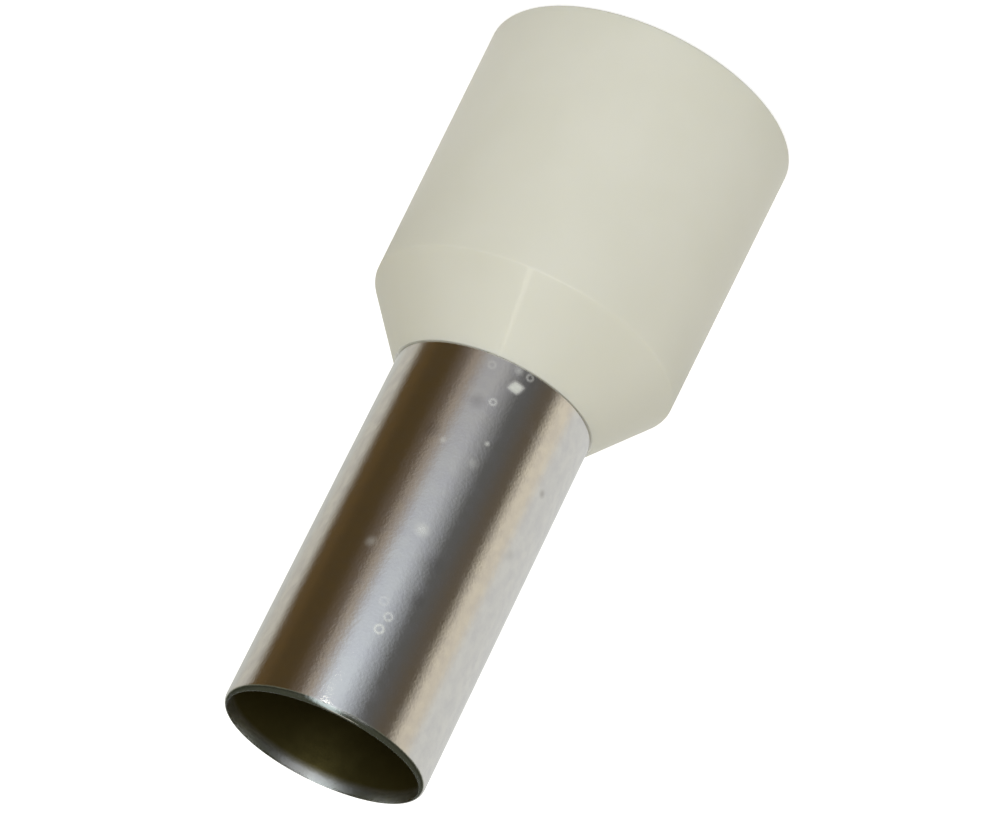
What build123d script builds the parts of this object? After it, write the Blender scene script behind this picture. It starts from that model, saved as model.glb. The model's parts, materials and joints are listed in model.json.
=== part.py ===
import os
from math import cos, radians, sin, tan

from build123d import *

# Insulated wire end ferrule for a 16 square millimetre stranded conductor.
# The part stands on the open mouth of its plastic collar, and the wire goes in from below.
# Lengths are in millimetres and angles in degrees. The origin is the centre of the mouth, on the axis.

# Tinned copper tube
tube_bore_radius = 2.9      # takes the bare strands
tube_wall = 0.2             # drawn sheet, the same thickness all the way
pin_length = 11.85          # bare tube beyond the collar's lip, the part that is crimped
bell_bend_radius = 0.9      # outside of the bend between the tube and its flared end

# Moulded insulating collar
core_radius = 4.4           # straight inside of the sleeve, takes the wire's insulation
sleeve_wall = 0.5           # thickness of the sleeve at its mouth
sleeve_length = 8.76        # from the mouth to the shoulder corner
draft_angle = 0.8           # taper of the outside towards the shoulder, which frees it from the mould
shoulder_angle = 36.6       # slope of the conical shoulder, measured from the axis
shoulder_wall = 0.4         # thickness of the conical shoulder
lip_wall = 0.06             # the shoulder thins out to this where it meets the tube
bell_setback = 0.3          # the tube's flare ends this far short of the sleeve's inside

# Small edges
mouth_edge_round = 0.14     # outer edge of the mouth
mouth_lead_in = 0.14        # chamfer at the inner edge, which guides the wire's insulation in
shoulder_corner_round = 0.12
tip_round_share = 0.48      # of the tube's wall: almost a half circle, with a sliver of flat left

# Radii that follow from the sizes above
tube_outer_radius = tube_bore_radius + tube_wall
lip_outer_radius = tube_outer_radius + lip_wall
mouth_outer_radius = core_radius + sleeve_wall
shoulder_radius = mouth_outer_radius - sleeve_length * tan(radians(draft_angle))
bell_radius = core_radius - bell_setback

# The shoulder's slope is shared by its outside, its inside and the tube's flare
slope = radians(shoulder_angle)
inward_r = -cos(slope)
inward_z = -sin(slope)


def inner_cone_height(radius):
    """Height on the inside face of the shoulder, one wall in from the outside, at a given radius."""
    face_radius = shoulder_radius + shoulder_wall * inward_r
    face_height = sleeve_length + shoulder_wall * inward_z
    return face_height + (face_radius - radius) / tan(slope)


# Heights that follow
lip_height = sleeve_length + (shoulder_radius - lip_outer_radius) / tan(slope)
tip_height = lip_height + pin_length
bend_height = inner_cone_height(tube_outer_radius)      # where the flare leaves the tube
bell_height = inner_cone_height(bell_radius)            # outer edge of the flare
core_top_height = inner_cone_height(core_radius)        # where the sleeve's inside turns into the cone


def profile(points):
    """A flat face in the XZ plane from (radius, height) points in order."""
    return make_face(Polyline(*[(radius, 0, height) for radius, height in points], close=True))


def corner(face, radius, height):
    """The profile's corner nearest to (radius, height)."""
    target = Vector(radius, 0, height)
    return min(face.vertices(), key=lambda vertex: (vertex.center() - target).length)


def round_corner(face, radius, height, size):
    """The profile with one corner rounded."""
    return fillet(corner(face, radius, height), size)


def conductor_tube():
    """Drawn tube with a rounded tip, flared at its lower end to lie against the inside of the shoulder."""
    # The inner bend corner lies one wall in, on the line that halves the bend
    inner_bend_height = bend_height - tube_wall * tan(slope / 2)
    flare_edge = (bell_radius + tube_wall * inward_r, bell_height + tube_wall * inward_z)
    outline = profile([
        (tube_bore_radius, tip_height),
        (tube_outer_radius, tip_height),
        (tube_outer_radius, bend_height),
        (bell_radius, bell_height),
        flare_edge,
        (tube_bore_radius, inner_bend_height),
    ])
    outline = round_corner(outline, tube_outer_radius, bend_height, bell_bend_radius)
    outline = round_corner(outline, tube_bore_radius, inner_bend_height, bell_bend_radius + tube_wall)
    # The cut end is tumbled round
    tip_round = tip_round_share * tube_wall
    outline = round_corner(outline, tube_outer_radius, tip_height, tip_round)
    outline = round_corner(outline, tube_bore_radius, tip_height, tip_round)
    return revolve(outline, axis=Axis.Z)


def insulating_collar():
    """Sleeve with a drafted outside and a conical shoulder that thins to a lip round the tube."""
    outline = profile([
        (core_radius, 0),
        (mouth_outer_radius, 0),
        (shoulder_radius, sleeve_length),
        (lip_outer_radius, lip_height),
        (tube_outer_radius, lip_height),
        (tube_outer_radius, bend_height),
        (core_radius, core_top_height),
    ])
    # The neck's inner corner fills the bend of the tube's flare exactly
    outline = round_corner(outline, tube_outer_radius, bend_height, bell_bend_radius)
    outline = round_corner(outline, shoulder_radius, sleeve_length, shoulder_corner_round)
    outline = round_corner(outline, mouth_outer_radius, 0, mouth_edge_round)
    outline = chamfer(corner(outline, core_radius, 0), mouth_lead_in)
    return revolve(outline, axis=Axis.Z)


def write_part(name, shape):
    """Write one piece's STEP file and print its volume and height."""
    export_step(shape, f"parts/{name}.step")
    print(f"{name}: volume {shape.volume:.2f} mm3, height {shape.bounding_box().size.Z:.3f} mm")


os.makedirs("parts", exist_ok=True)
write_part("conductor_tube", conductor_tube())
write_part("insulating_collar", insulating_collar())
print(f"tip at {tip_height:.3f}, lip at {lip_height:.3f}, bell edge at {bell_height:.3f} mm")
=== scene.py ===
import bpy
import bmesh
import json
import math
from mathutils import Matrix, Vector


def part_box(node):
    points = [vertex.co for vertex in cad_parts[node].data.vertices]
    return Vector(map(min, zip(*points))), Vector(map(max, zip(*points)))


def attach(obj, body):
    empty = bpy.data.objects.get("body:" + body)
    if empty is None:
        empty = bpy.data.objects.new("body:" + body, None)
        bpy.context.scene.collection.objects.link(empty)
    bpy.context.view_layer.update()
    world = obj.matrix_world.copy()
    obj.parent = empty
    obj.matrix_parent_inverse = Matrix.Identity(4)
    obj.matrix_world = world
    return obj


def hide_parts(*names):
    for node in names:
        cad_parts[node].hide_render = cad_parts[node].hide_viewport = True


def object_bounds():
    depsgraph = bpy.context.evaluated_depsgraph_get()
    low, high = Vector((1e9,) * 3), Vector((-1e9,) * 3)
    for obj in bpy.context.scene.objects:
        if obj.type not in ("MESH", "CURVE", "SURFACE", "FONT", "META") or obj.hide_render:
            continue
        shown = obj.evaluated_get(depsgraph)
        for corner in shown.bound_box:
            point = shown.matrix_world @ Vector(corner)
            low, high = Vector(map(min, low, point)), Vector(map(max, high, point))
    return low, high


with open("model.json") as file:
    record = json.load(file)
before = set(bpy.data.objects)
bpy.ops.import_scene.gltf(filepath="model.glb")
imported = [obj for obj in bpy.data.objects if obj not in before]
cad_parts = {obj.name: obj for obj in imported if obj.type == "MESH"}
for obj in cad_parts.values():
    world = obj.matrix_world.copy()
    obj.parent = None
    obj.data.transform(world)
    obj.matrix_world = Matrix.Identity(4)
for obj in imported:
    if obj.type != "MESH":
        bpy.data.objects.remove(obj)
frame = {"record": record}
cadLow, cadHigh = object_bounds()
print("ferrule frame loaded")

mm = 0.001
tubeLow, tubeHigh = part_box("conductor_tube")
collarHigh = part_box("insulating_collar")[1]
mountSizes = {mount["name"]: mount["dims"] for mount in frame["record"]["mounts"]}
tubeRadius = mountSizes["crimp_pin"]["r_mm"] * mm
boreRadius = mountSizes["conductor_bore"]["r_mm"] * mm
coreRadius = mountSizes["wire_inlet"]["r_mm"] * mm


# Small helpers

def toLinear(hexColour):
    # The sRGB curve
    channels = [int(hexColour[i:i + 2], 16) / 255 for i in (1, 3, 5)]
    linear = [c / 12.92 if c <= 0.04045 else ((c + 0.055) / 1.055) ** 2.4 for c in channels]
    return (*linear, 1.0)


def addNode(tree, kind, settings=None, links=None):
    # Settings with a lower case first letter are node properties, and the rest are input sockets
    node = tree.nodes.new(kind)
    for name, value in (settings or {}).items():
        if isinstance(name, int) or name[0].isupper():
            node.inputs[name].default_value = value
        else:
            setattr(node, name, value)
    for name, source in (links or {}).items():
        tree.links.new(source, node.inputs[name])
    return node


def newMaterial(name):
    material = bpy.data.materials.new(name)
    material.use_nodes = True
    material.node_tree.nodes.clear()
    return material, material.node_tree


def placeInMm(tree):
    coords = addNode(tree, "ShaderNodeTexCoord")
    inMm = addNode(tree, "ShaderNodeMapping", {"Scale": (1 / mm, 1 / mm, 1 / mm)}, {
        "Vector": coords.outputs["Object"],
    })
    return inMm.outputs[0]


def polar(azimuth, elevation, distance):
    # Azimuth 0 is towards the camera (-Y), and a positive one turns to the right side of the picture (-X)
    turn, rise = math.radians(azimuth), math.radians(elevation)
    flat = math.cos(rise)
    return Vector((-math.sin(turn) * flat, -math.cos(turn) * flat, math.sin(rise))) * distance


# Camera: the tip points down to the left, and the view looks a little into the open tube

cameraSetup = {
    "tilt": 24.126,              # degrees above the tube's side
    "roll": 63.783,              # degrees from the picture's level line to the axis
    "lens": 162.0,
    "sensor": 36.0,
    "clipStart": 5 * mm,
    "tipRight": -4.983 * mm,     # where the centre of the tip lies in the camera's own frame
    "tipDown": 9.463 * mm,
    "tipAhead": 126.357 * mm,
}


def makeCamera():
    setup = cameraSetup
    tilt, roll = math.radians(setup["tilt"]), math.radians(setup["roll"])
    back = Vector((0, -math.cos(tilt), math.sin(tilt)))
    levelUp = Vector((0, math.sin(tilt), math.cos(tilt)))
    levelRight = Vector((1, 0, 0))
    right = -math.sin(roll) * levelRight - math.cos(roll) * levelUp
    up = math.cos(roll) * levelRight - math.sin(roll) * levelUp
    tip = Vector((0, 0, tubeHigh.z))
    place = tip - right * setup["tipRight"] + up * setup["tipDown"] + back * setup["tipAhead"]
    data = bpy.data.cameras.new("viewCamera")
    data.lens = setup["lens"]
    data.sensor_width = setup["sensor"]
    data.clip_start = setup["clipStart"]
    camera = bpy.data.objects.new("viewCamera", data)
    bpy.context.scene.collection.objects.link(camera)
    turn = Matrix((right, up, back)).transposed().to_4x4()
    camera.matrix_world = Matrix.Translation(place) @ turn
    bpy.context.scene.camera = camera


makeCamera()
print("camera placed")


# Ring modelling: a piece starts as a circle on the axis and is extruded ring by ring round its section

modelling = {
    "mergeReach": 0.001 * mm,
    "pickReach": 0.004 * mm,     # how near a vertex lies to the ring that is picked
    "smoothAngle": 35,           # degrees, and a sharper edge stays sharp
}


def startRing(name, radius, height, segments):
    bpy.ops.object.select_all(action="DESELECT")
    bpy.ops.mesh.primitive_circle_add(vertices=segments, radius=radius, location=(0, 0, height))
    piece = bpy.context.object
    piece.name = piece.data.name = name
    bpy.ops.object.transform_apply(location=True, rotation=False, scale=False)
    bpy.ops.object.mode_set(mode="EDIT")
    bpy.ops.mesh.select_all(action="SELECT")
    return piece


def extrudeRing(fromRadius, toRadius, fromHeight, toHeight):
    bpy.ops.mesh.extrude_region_move(TRANSFORM_OT_translate={"value": (0, 0, toHeight - fromHeight)})
    scale = toRadius / fromRadius
    bpy.ops.transform.resize(value=(scale, scale, 1), center_override=(0, 0, toHeight))


def turnSection(name, section, segments):
    radius, height = section[0]
    piece = startRing(name, radius, height, segments)
    for nextRadius, nextHeight in section[1:] + section[:1]:
        extrudeRing(radius, nextRadius, height, nextHeight)
        radius, height = nextRadius, nextHeight
    bpy.ops.mesh.select_all(action="SELECT")
    bpy.ops.mesh.remove_doubles(threshold=modelling["mergeReach"])
    return piece


def selectRing(piece, radius, height):
    mesh = bmesh.from_edit_mesh(piece.data)
    reach = modelling["pickReach"]
    for edge in mesh.edges:
        edge.select_set(all(
            abs(math.hypot(v.co.x, v.co.y) - radius) < reach and abs(v.co.z - height) < reach
            for v in edge.verts))
    mesh.select_flush_mode()
    bmesh.update_edit_mesh(piece.data)


def roundRing(piece, radius, height, roundRadius, turn, steps):
    # The bevel's offset is the length from the corner to where the round starts
    bpy.ops.mesh.select_all(action="DESELECT")
    bpy.ops.mesh.select_mode(type="EDGE")
    selectRing(piece, radius, height)
    offset = roundRadius * math.tan(turn / 2)
    bpy.ops.mesh.bevel(
        offset=offset, offset_type="OFFSET", segments=steps, affect="EDGES", clamp_overlap=False)


def finishPiece(piece, material):
    bpy.ops.mesh.select_all(action="SELECT")
    bpy.ops.mesh.normals_make_consistent(inside=False)
    bpy.ops.object.mode_set(mode="OBJECT")
    bpy.ops.object.shade_smooth_by_angle(angle=math.radians(modelling["smoothAngle"]))
    piece.data.materials.clear()
    piece.data.materials.append(material)
    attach(piece, "root")


# Tube of drawn copper with a tin finish

tubeFinish = {
    "tin": "#d6d4d0",
    "tinCloudy": "#cecccb",
    "inside": "#7c7242",         # painted shade: a dull olive standing in for the dark hollow of the bore
    "residueAndGlint": "#cfd2c8",        # dried drops and specks of dust, and the painted glint
    "stain": "#8f8a86",
    "roughLow": 0.13,
    "roughHigh": 0.19,
    "roughInside": 0.36,
    "roughResidueAndGlint": 0.35,        # comes on top of the tin's own, on the drops, the dust and the painted glint
    "metalResidueAndGlint": 0.15,
    "paintedShadeMetalCut": 0.12,          # share of the metal that is lost inside, part of the bore's painted shade
    "insideEdge": (2.9005, 2.92),    # mm from the axis, where the painted olive shade of the inside ends
    "boreEdge": (2.94, 2.97),    # mm, where its roughness ends, over the opened end
    "cloudRange": (0.35, 0.65),  # of the noise
    # Size of the pattern in mm, its height in mm and its detail
    "waves": (1.3, 0.0018, 1.0),     # slow unevenness from drawing
    "clouds": (0.36, 0.0014, 3.0),   # matt clouds of the plating
    "grain": (0.085, 0.0034, 2.0),   # coarser than the real grain, so that it shows
}

# Marks on the tube: kind, height in mm, degrees to the right of the middle, radius in mm, strength
tubeMarks = [
    # The first mark is a painted highlight: a pale matt patch standing in for a small glint
    ("paintedGlint", 11.58, 7.6, 0.18, 0.7),
    ("ring", 20.02, -0.8, 0.12, 0.42),
    ("ring", 19.58, 0.6, 0.11, 0.3),
    ("ring", 19.20, -4.9, 0.12, 0.15),
    ("ring", 11.09, 12.0, 0.09, 0.25),
    ("ring", 12.31, 0.0, 0.09, 0.28),
    ("ring", 11.26, -9.2, 0.10, 0.15),
    ("spot", 16.79, -3.6, 0.16, 0.35),
    ("spot", 17.65, -25.6, 0.13, 0.2),
    ("spot", 14.00, -14.8, 0.08, 0.3),
    ("spot", 13.54, 6.9, 0.06, 0.4),
    ("spot", 11.07, 5.0, 0.10, 0.25),
    ("spot", 14.29, 4.5, 0.12, 0.15),
    ("stain", 13.69, 51.1, 0.10, 0.5),
    ("stain", 15.85, 49.2, 0.14, 0.2),
    ("stain", 12.48, -7.7, 0.18, 0.35),
    ("stain", 13.77, -22.4, 0.22, 0.3),
    ("stain", 17.58, 8.4, 0.22, 0.3),
    ("stain", 18.74, 9.7, 0.18, 0.3),
]
markShape = {
    "glintTurn": -29,             # degrees, the painted glint's turn
    "glintStretch": 1.25,
    "glintSoftness": 0.5,         # of its radius
    "ringLine": 0.07,            # mm, half the width of a dried drop's edge
}


def markMask(tree, place, mark):
    kind, height, azimuth, radius, strength = mark
    centre = polar(azimuth, 0, tubeRadius / mm) + Vector((0, 0, height))
    soft = radius
    if kind == "paintedGlint":
        # The painted glint: half a lozenge and half an oval, which gives it blunt corners
        turned = addNode(tree, "ShaderNodeMapping", {
            "vector_type": "TEXTURE",
            "Location": centre,
            "Rotation": (0, math.radians(markShape["glintTurn"]), 0),
            "Scale": (markShape["glintStretch"], 1, 1),
        }, {"Vector": place})
        size = addNode(tree, "ShaderNodeVectorMath", {"operation": "ABSOLUTE"}, {0: turned.outputs[0]})
        half = 0.5
        lozenge = addNode(tree, "ShaderNodeVectorMath", {
            "operation": "DOT_PRODUCT",
            1: (half, 0, half),
        }, {0: size.outputs[0]})
        oval = addNode(tree, "ShaderNodeVectorMath", {"operation": "LENGTH"}, {0: size.outputs[0]})
        away = addNode(tree, "ShaderNodeMath", {"operation": "MULTIPLY_ADD", 1: half}, {
            0: oval.outputs["Value"],
            2: lozenge.outputs["Value"],
        }).outputs[0]
        soft = markShape["glintSoftness"] * radius
    else:
        away = addNode(tree, "ShaderNodeVectorMath", {
            "operation": "DISTANCE",
            1: centre,
        }, {0: place}).outputs["Value"]
    if kind == "ring":
        away = addNode(tree, "ShaderNodeMath", {"operation": "SUBTRACT", 1: radius}, {0: away}).outputs[0]
        away = addNode(tree, "ShaderNodeMath", {"operation": "ABSOLUTE"}, {0: away}).outputs[0]
        radius, soft = 0.0, markShape["ringLine"]
    edge = addNode(tree, "ShaderNodeMapRange", {
        "interpolation_type": "SMOOTHSTEP",
        "From Min": max(radius - soft, 0),
        "From Max": radius + soft,
        "To Min": strength,
        "To Max": 0.0,
    }, {"Value": away})
    return edge.outputs["Result"]


def joinedMasks(tree, place, kinds):
    joined = None
    for mark in tubeMarks:
        if mark[0] in kinds:
            mask = markMask(tree, place, mark)
            if joined:
                larger = addNode(tree, "ShaderNodeMath", {"operation": "MAXIMUM"}, {0: joined, 1: mask})
                mask = larger.outputs[0]
            joined = mask
    return joined


def nearAxis(tree, away, edge):
    # 1 nearer to the axis than the edge, and 0 beyond it
    return addNode(tree, "ShaderNodeMapRange", {
        "From Min": edge[0],
        "From Max": edge[1],
        "To Min": 1.0,
        "To Max": 0.0,
    }, {"Value": away}).outputs["Result"]


def tinnedCopper():
    # Electroplated tin on drawn copper: a soft satin metal, cloudy where the plating is matt, with painted
    # shade inside the bore and one painted glint
    finish = tubeFinish
    material, tree = newMaterial("tinnedCopper")
    place = placeInMm(tree)
    noises = {}
    links = {}
    for name in ("waves", "clouds", "grain"):
        size, height, detail = finish[name]
        noises[name] = addNode(tree, "ShaderNodeTexNoise", {
            "Scale": 1 / size,
            "Detail": detail,
        }, {"Vector": place}).outputs["Fac"]
        links["Height"] = noises[name]
        bump = addNode(tree, "ShaderNodeBump", {"Distance": height * mm}, links)
        links["Normal"] = bump.outputs[0]

    flat = addNode(tree, "ShaderNodeVectorMath", {"operation": "MULTIPLY", 1: (1, 1, 0)}, {0: place})
    away = addNode(tree, "ShaderNodeVectorMath", {"operation": "LENGTH"}, {0: flat.outputs[0]})
    # Painted shade: inside the bore the colour turns olive and the metal drops, standing in for its dark
    # hollow
    inside = nearAxis(tree, away.outputs["Value"], finish["insideEdge"])
    # The rough finish of the bore goes on over its opened end, where the tin is whole again
    bore = nearAxis(tree, away.outputs["Value"], finish["boreEdge"])
    # Pale marks: real dried drops and dust, and the painted glint
    residueAndGlint = joinedMasks(tree, place, ("paintedGlint", "ring", "spot"))
    stains = joinedMasks(tree, place, ("stain",))
    cloudy = addNode(tree, "ShaderNodeMapRange", {
        "From Min": finish["cloudRange"][0],
        "From Max": finish["cloudRange"][1],
    }, {"Value": noises["clouds"]}).outputs["Result"]

    colour = addNode(tree, "ShaderNodeMix", {
        "data_type": "RGBA",
        6: toLinear(finish["tin"]),
        7: toLinear(finish["tinCloudy"]),
    }, {"Factor": cloudy})
    # Colours laid on the tin: real stains, the pale drops, dust and painted glint, then the bore's painted
    # shade
    for name, mask in (("stain", stains), ("residueAndGlint", residueAndGlint), ("inside", inside)):
        colour = addNode(tree, "ShaderNodeMix", {
            "data_type": "RGBA",
            7: toLinear(finish[name]),
        }, {"Factor": mask, 6: colour.outputs[2]})

    rough = addNode(tree, "ShaderNodeMapRange", {
        "To Min": finish["roughLow"],
        "To Max": finish["roughHigh"],
    }, {"Value": cloudy})
    metal = addNode(tree, "ShaderNodeMapRange", {
        "To Min": 1.0,
        "To Max": finish["metalResidueAndGlint"],
    }, {"Value": residueAndGlint})
    rough = addNode(tree, "ShaderNodeMath", {
        "operation": "MULTIPLY_ADD",
        1: finish["roughResidueAndGlint"],
    }, {0: residueAndGlint, 2: rough.outputs["Result"]})
    rough = addNode(tree, "ShaderNodeMath", {
        "operation": "MULTIPLY_ADD",
        1: finish["roughInside"] - finish["roughHigh"],
    }, {0: bore, 2: rough.outputs[0]})
    metal = addNode(tree, "ShaderNodeMath", {
        "operation": "MULTIPLY_ADD",
        1: -finish["paintedShadeMetalCut"],
    }, {0: inside, 2: metal.outputs["Result"]})

    shader = addNode(tree, "ShaderNodeBsdfPrincipled", {}, {
        "Base Color": colour.outputs[2],
        "Metallic": metal.outputs[0],
        "Roughness": rough.outputs[0],
        "Normal": bump.outputs[0],
    })
    addNode(tree, "ShaderNodeOutputMaterial", {}, {"Surface": shader.outputs[0]})
    return material


tubeShape = {
    "flareSlope": 36.6,          # degrees from the axis
    "bendRound": 0.9 * mm,       # outside of the bend
    "bendSteps": 8,
    "noseWidth": 0.14 * mm,      # the cut end draws in a little on the outside
    "noseDepth": 0.20 * mm,
    "leadInWidth": 0.060 * mm,   # and opens out on the inside
    "leadInDepth": 0.50 * mm,
    "tipSteps": 10,
    "segments": 192,
}


def tipSection(shape, tipHeight):
    # The lead-in is an arc that starts along the bore, and the nose is a quarter of an ellipse
    width, depth, steps = shape["leadInWidth"], shape["leadInDepth"], shape["tipSteps"]
    arcRadius = (width * width + depth * depth) / (2 * width)
    leadInTurn, noseTurn = math.asin(depth / arcRadius), math.radians(90)
    points = []
    for step in range(steps + 1):
        turn = leadInTurn * step / steps
        radius = boreRadius + arcRadius * (1 - math.cos(turn))
        points.append((radius, tipHeight - depth + arcRadius * math.sin(turn)))
    for step in range(steps + 1):
        turn = noseTurn * step / steps
        radius = tubeRadius - shape["noseWidth"] * (1 - math.sin(turn))
        points.append((radius, tipHeight - shape["noseDepth"] * (1 - math.cos(turn))))
    return points


def makeTube():
    shape = tubeShape
    wall = tubeRadius - boreRadius
    slope = math.radians(shape["flareSlope"])
    bellRadius = tubeHigh.x
    flareRadius = bellRadius - wall * math.cos(slope)
    flareHeight = tubeLow.z
    bellHeight = flareHeight + wall * math.sin(slope)
    bendHeight = bellHeight + (bellRadius - tubeRadius) / math.tan(slope)
    innerBendHeight = bendHeight - wall * math.tan(slope / 2)
    section = tipSection(shape, tubeHigh.z) + [
        (tubeRadius, bendHeight),
        (bellRadius, bellHeight),
        (flareRadius, flareHeight),
        (boreRadius, innerBendHeight),
    ]
    piece = turnSection("conductorTube", section, shape["segments"])
    roundRing(piece, tubeRadius, bendHeight, shape["bendRound"], slope, shape["bendSteps"])
    roundRing(piece, boreRadius, innerBendHeight, shape["bendRound"] + wall, slope, shape["bendSteps"])
    finishPiece(piece, tinnedCopper())
    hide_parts("conductor_tube")


makeTube()
print("tube turned")


# Collar moulded in ivory polypropylene

collarFinish = {
    "ivory": "#d0cfc3",
    "ivoryDeep": "#cecdc0",
    "toneRange": (0.35, 0.65),   # of the noise
    "roughness": 0.5,
    "ior": 1.49,
    "lightDepth": 0.5 * mm,      # how far light goes in
    "lightDepthByColour": (1.0, 0.9, 0.6),
    "lightShare": 0.25,
    "sheen": 0.08,               # the skin's thin gloss, which shows a lamp as a faint streak
    "sheenRoughness": 0.05,
    "flowSize": 2.5,             # mm, faint clouding of the melt
    "skinSize": 0.12,            # mm, grain of the mould's face
    "skinHeight": 0.0004,        # mm
    "noiseDetail": 2.0,
}


def ivoryPolypropylene():
    # Moulded polypropylene: opaque ivory that lets a little light in, with a low even sheen
    finish = collarFinish
    material, tree = newMaterial("ivoryPolypropylene")
    place = placeInMm(tree)
    flow, skin = [addNode(tree, "ShaderNodeTexNoise", {
        "Scale": 1 / finish[size],
        "Detail": finish["noiseDetail"],
    }, {"Vector": place}) for size in ("flowSize", "skinSize")]
    tone = addNode(tree, "ShaderNodeValToRGB", {}, {"Fac": flow.outputs["Fac"]})
    for stop, position, name in zip(tone.color_ramp.elements, finish["toneRange"], ("ivoryDeep", "ivory")):
        stop.position = position
        stop.color = toLinear(finish[name])
    skinBump = addNode(tree, "ShaderNodeBump", {"Distance": finish["skinHeight"] * mm}, {
        "Height": skin.outputs["Fac"],
    })
    shader = addNode(tree, "ShaderNodeBsdfPrincipled", {
        "Roughness": finish["roughness"],
        "IOR": finish["ior"],
        "Subsurface Weight": finish["lightShare"],
        "Subsurface Radius": finish["lightDepthByColour"],
        "Subsurface Scale": finish["lightDepth"],
        "Coat Weight": finish["sheen"],
        "Coat Roughness": finish["sheenRoughness"],
    }, {"Base Color": tone.outputs["Color"], "Normal": skinBump.outputs[0]})
    addNode(tree, "ShaderNodeOutputMaterial", {}, {"Surface": shader.outputs[0]})
    return material


collarShape = {
    "shoulderSlope": 36.6,       # degrees from the axis
    "sleeveLength": 8.76 * mm,
    "draft": 0.8,                # degrees, narrower towards the shoulder
    "shoulderWall": 0.4 * mm,
    "neckRound": 0.9 * mm,
    "neckSteps": 8,
    "shoulderRound": 0.12 * mm,
    "mouthRound": 0.14 * mm,
    "edgeSteps": 6,
    "mouthLeadIn": 0.14 * mm,    # chamfer
    "lipWall": 0.06 * mm,
    "segments": 224,
}


def makeCollar():
    shape = collarShape
    slope = math.radians(shape["shoulderSlope"])
    length, leadIn = shape["sleeveLength"], shape["mouthLeadIn"]
    mouthRadius, lipHeight = collarHigh.x, collarHigh.z
    shoulderRadius = mouthRadius - length * math.tan(math.radians(shape["draft"]))
    faceRadius = shoulderRadius - shape["shoulderWall"] * math.cos(slope)
    faceHeight = length - shape["shoulderWall"] * math.sin(slope)
    neckHeight = faceHeight + (faceRadius - tubeRadius) / math.tan(slope)
    coreTop = faceHeight + (faceRadius - coreRadius) / math.tan(slope)
    section = [
        (coreRadius, leadIn),
        (coreRadius + leadIn, 0),
        (mouthRadius, 0),
        (shoulderRadius, length),
        (tubeRadius + shape["lipWall"], lipHeight),
        (tubeRadius, lipHeight),
        (tubeRadius, neckHeight),
        (coreRadius, coreTop),
    ]
    piece = turnSection("insulatingCollar", section, shape["segments"])
    roundRing(piece, mouthRadius, 0, shape["mouthRound"], math.radians(90), shape["edgeSteps"])
    roundRing(piece, shoulderRadius, length, shape["shoulderRound"], slope, shape["edgeSteps"])
    roundRing(piece, tubeRadius, neckHeight, shape["neckRound"], slope, shape["neckSteps"])
    finishPiece(piece, ivoryPolypropylene())
    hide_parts("insulating_collar")


makeCollar()
print("collar turned")


# Studio: a pale floor, soft lamps, and a ring of cards that only gloss sees

studio = {
    "floorSize": 3.0,            # m
    "floorGap": 0.02 * mm,       # keeps the floor off the face that stands on it
    "floorColour": "#d2d2d2",
    "floorLift": 0.68,           # added where the camera or a reflection sees the floor
    "worldColour": "#fdf9ec",
    "worldLevel": 0.70,
    "lampColour": "#f4f8ff",
    "ringRadius": 18 * mm,
    "ringHeight": 120 * mm,
    "ringSegments": 128,
    "stripAzimuth": -16.4,       # degrees
    "stripGap": 0.5 * mm,        # from the ring of cards
    "stripColour": "#fffbe8",
}

# Narrow upright lamps that show in gloss only: name, ends and width in mm, glow, the piece that they light
strips = [
    ("rimStrip", 19.5, 22.5, 0.8, 15.0, None),
    ("collarStrip", 20.3, 27.5, 1.2, 15.0, "insulatingCollar"),
]

# Cards round the part: from, to, colour low down, colour higher up beside the pin
# Degrees are counted from the camera's side, to the right side of the picture
cards = [
    (-180, -140, "#d2d3cd", "#d2d3cd"),      # pale wall, left and behind
    (-128, -113, "#d6d3c8", "#d6d3c8"),
    (-99, -88, "#645031", "#645031"),        # brown bench
    (-78, -58, "#56462b", "#56462b"),
    (-48, -45, "#6d5f4f", "#6d5f4f"),        # its lit edge
    (-35, -33, "#a99d90", "#b4a99c"),
    (-21, -6, "#bcbcbd", "#e4ecf6"),         # window
    (20, 26, "#636362", "#636362"),          # grey shelf
    (44, 51, "#675d4f", "#675d4f"),
    (65, 76, "#f1e8d5", "#eae1cf"),          # warm board
    (88, 130, "#e9eae7", "#e9eae7"),         # pale wall, right and behind
    (145, 180, "#e0e1de", "#e0e1de"),
]
# The room above the cards: from, to, colour just above them, just above the tip, and higher up
room = [
    (-180, -36, "#7f8270", "#3c3e32", "#4a4d40"),
    (-22, -8, "#e6ecf2", "#ecfffd", "#ecfffd"),      # the window reaches up here
    (4, 180, "#7f8270", "#3c3e32", "#4a4d40"),
]
# Heights in mm between which one colour turns into the next
colourSteps = [(6, 17), (21, 22.5), (22.7, 24), (28, 31)]


def floorPaper():
    # Matt white paper
    material, tree = newMaterial("floorPaper")
    path = addNode(tree, "ShaderNodeLightPath")
    seen = path.outputs["Is Camera Ray"]
    for ray in ("Is Glossy Ray", "Is Transmission Ray"):
        either = addNode(tree, "ShaderNodeMath", {"operation": "MAXIMUM"}, {0: seen, 1: path.outputs[ray]})
        seen = either.outputs[0]
    lift = addNode(tree, "ShaderNodeMath", {"operation": "MULTIPLY", 1: studio["floorLift"]}, {0: seen})
    glow = addNode(tree, "ShaderNodeEmission", {}, {"Strength": lift.outputs[0]})
    paper = addNode(tree, "ShaderNodeBsdfDiffuse", {"Color": toLinear(studio["floorColour"])})
    both = addNode(tree, "ShaderNodeAddShader", {}, {0: paper.outputs[0], 1: glow.outputs[0]})
    addNode(tree, "ShaderNodeOutputMaterial", {}, {"Surface": both.outputs[0]})
    return material


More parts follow.
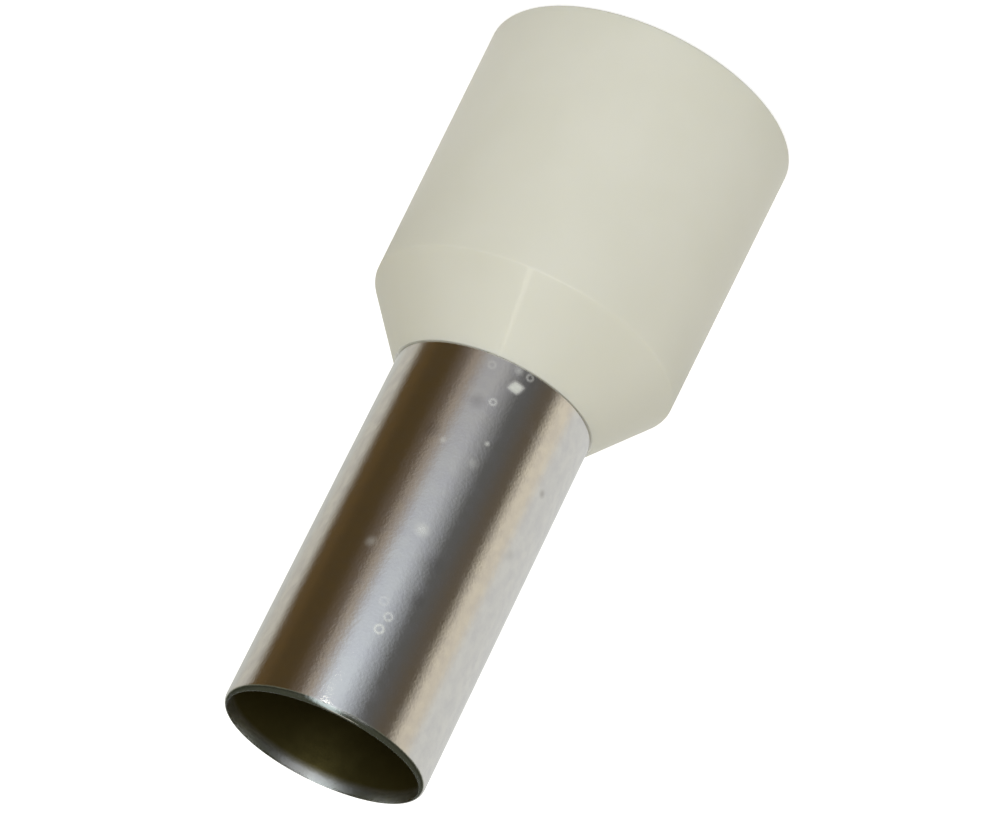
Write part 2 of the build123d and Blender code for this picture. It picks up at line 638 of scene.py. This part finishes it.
def makeFloor():
    bpy.ops.object.select_all(action="DESELECT")
    bpy.ops.mesh.primitive_plane_add(size=studio["floorSize"], location=(0, 0, -studio["floorGap"]))
    floor = bpy.context.object
    floor.name = "floor"
    floor.data.materials.append(floorPaper())


def roundColours(tree, angle, table, column):
    # One colour level all round: each row keeps its colour between its two angles
    stopList = [(degrees, row[column]) for row in table for degrees in row[:2]]
    ramp = addNode(tree, "ShaderNodeValToRGB", {}, {"Fac": angle})
    stops = ramp.color_ramp.elements
    while len(stops) < len(stopList):
        stops.new(0.5)
    for stop, (degrees, colour) in zip(stops, stopList):
        stop.position = 0.5 + degrees / 360
        stop.color = toLinear(colour)
    return ramp.outputs["Color"]


def unlitCard():
    # Even, unlit card, so its colour is its glow
    material, tree = newMaterial("cards")
    coords = addNode(tree, "ShaderNodeTexCoord")
    # Turned so that the ramp's middle faces the camera
    turned = addNode(tree, "ShaderNodeMapping", {
        "Scale": (1, -1, 1),
        "Rotation": (0, 0, math.radians(-90)),
    }, {"Vector": coords.outputs["Object"]})
    angle = addNode(tree, "ShaderNodeTexGradient", {"gradient_type": "RADIAL"}, {
        "Vector": turned.outputs[0],
    }).outputs["Fac"]
    height = addNode(tree, "ShaderNodeSeparateXYZ", {}, {"Vector": coords.outputs["Object"]}).outputs["Z"]
    levels = [roundColours(tree, angle, cards, column) for column in (2, 3)]
    levels += [roundColours(tree, angle, room, column) for column in (2, 3, 4)]
    colour = levels[0]
    for level, (low, high) in zip(levels[1:], colourSteps):
        climb = addNode(tree, "ShaderNodeMapRange", {
            "From Min": low * mm,
            "From Max": high * mm,
        }, {"Value": height})
        colour = addNode(tree, "ShaderNodeMix", {"data_type": "RGBA"}, {
            "Factor": climb.outputs["Result"],
            6: colour,
            7: level,
        }).outputs[2]
    glow = addNode(tree, "ShaderNodeEmission", {}, {"Color": colour})
    addNode(tree, "ShaderNodeOutputMaterial", {}, {"Surface": glow.outputs[0]})
    material.cycles.emission_sampling = "NONE"
    return material


def glossOnly(piece):
    for kind in ("camera", "diffuse", "transmission", "volume_scatter", "shadow"):
        setattr(piece, "visible_" + kind, False)


def makeCards():
    bpy.ops.object.select_all(action="DESELECT")
    height = studio["ringHeight"]
    bpy.ops.mesh.primitive_cylinder_add(
        vertices=studio["ringSegments"], radius=studio["ringRadius"], depth=height,
        end_fill_type="NOTHING", location=(0, 0, height / 2))
    ring = bpy.context.object
    ring.name = "cardRing"
    bpy.ops.object.transform_apply(location=True, rotation=False, scale=False)
    ring.data.materials.append(unlitCard())
    glossOnly(ring)


def makeStrip(name, low, high, width, glow, lights):
    bpy.ops.object.select_all(action="DESELECT")
    azimuth = studio["stripAzimuth"]
    middle = Vector((0, 0, (low + high) / 2 * mm))
    place = polar(azimuth, 0, studio["ringRadius"] - studio["stripGap"]) + middle
    turn = (math.radians(90), 0, -math.radians(azimuth))
    bpy.ops.mesh.primitive_plane_add(size=1, location=place, rotation=turn)
    strip = bpy.context.object
    strip.name = name
    strip.scale = (width * mm, (high - low) * mm, 1)
    bpy.ops.object.transform_apply(location=True, rotation=True, scale=True)
    material, tree = newMaterial(name + "Glow")
    light = addNode(tree, "ShaderNodeEmission", {"Color": toLinear(studio["stripColour"]), "Strength": glow})
    addNode(tree, "ShaderNodeOutputMaterial", {}, {"Surface": light.outputs[0]})
    strip.data.materials.append(material)
    if lights:
        receivers = bpy.data.collections.new(name + "Lights")
        receivers.objects.link(bpy.data.objects[lights])
        strip.light_linking.receiver_collection = receivers
    glossOnly(strip)


def makeWorld():
    world = bpy.data.worlds.new("studioWorld")
    bpy.context.scene.world = world
    world.use_nodes = True
    tree = world.node_tree
    tree.nodes.clear()
    path = addNode(tree, "ShaderNodeLightPath")
    around = addNode(tree, "ShaderNodeBackground", {
        "Color": toLinear(studio["worldColour"]),
        "Strength": studio["worldLevel"],
    })
    white = addNode(tree, "ShaderNodeBackground", {"Color": (1, 1, 1, 1), "Strength": 1.0})
    mix = addNode(tree, "ShaderNodeMixShader", {}, {
        0: path.outputs["Is Camera Ray"],
        1: around.outputs[0],
        2: white.outputs[0],
    })
    addNode(tree, "ShaderNodeOutputWorld", {}, {"Surface": mix.outputs[0]})


lamps = [
    # name, azimuth and elevation in degrees, distance and size in metres, power in watts
    ("softKey", -2, 5, 0.50, 0.40, 2.1),
    ("softBack", 176, 12, 0.50, 0.40, 1.2),
]


def makeLamp(name, azimuth, elevation, distance, size, power):
    data = bpy.data.lights.new(name, "AREA")
    data.shape = "DISK"
    data.size = size
    data.energy = power
    data.color = toLinear(studio["lampColour"])[:3]
    lamp = bpy.data.objects.new(name, data)
    bpy.context.scene.collection.objects.link(lamp)
    aim = Vector((0, 0, (cadLow.z + cadHigh.z) / 2))
    offset = polar(azimuth, elevation, distance)
    lamp.location = aim + offset
    lamp.rotation_mode = "QUATERNION"
    lamp.rotation_quaternion = offset.to_track_quat("Z", "Y")
    lamp.visible_camera = False


makeFloor()
makeCards()
for strip in strips:
    makeStrip(*strip)
makeWorld()
for lamp in lamps:
    makeLamp(*lamp)
bpy.context.scene.view_settings.view_transform = "Standard"
print("studio lit")
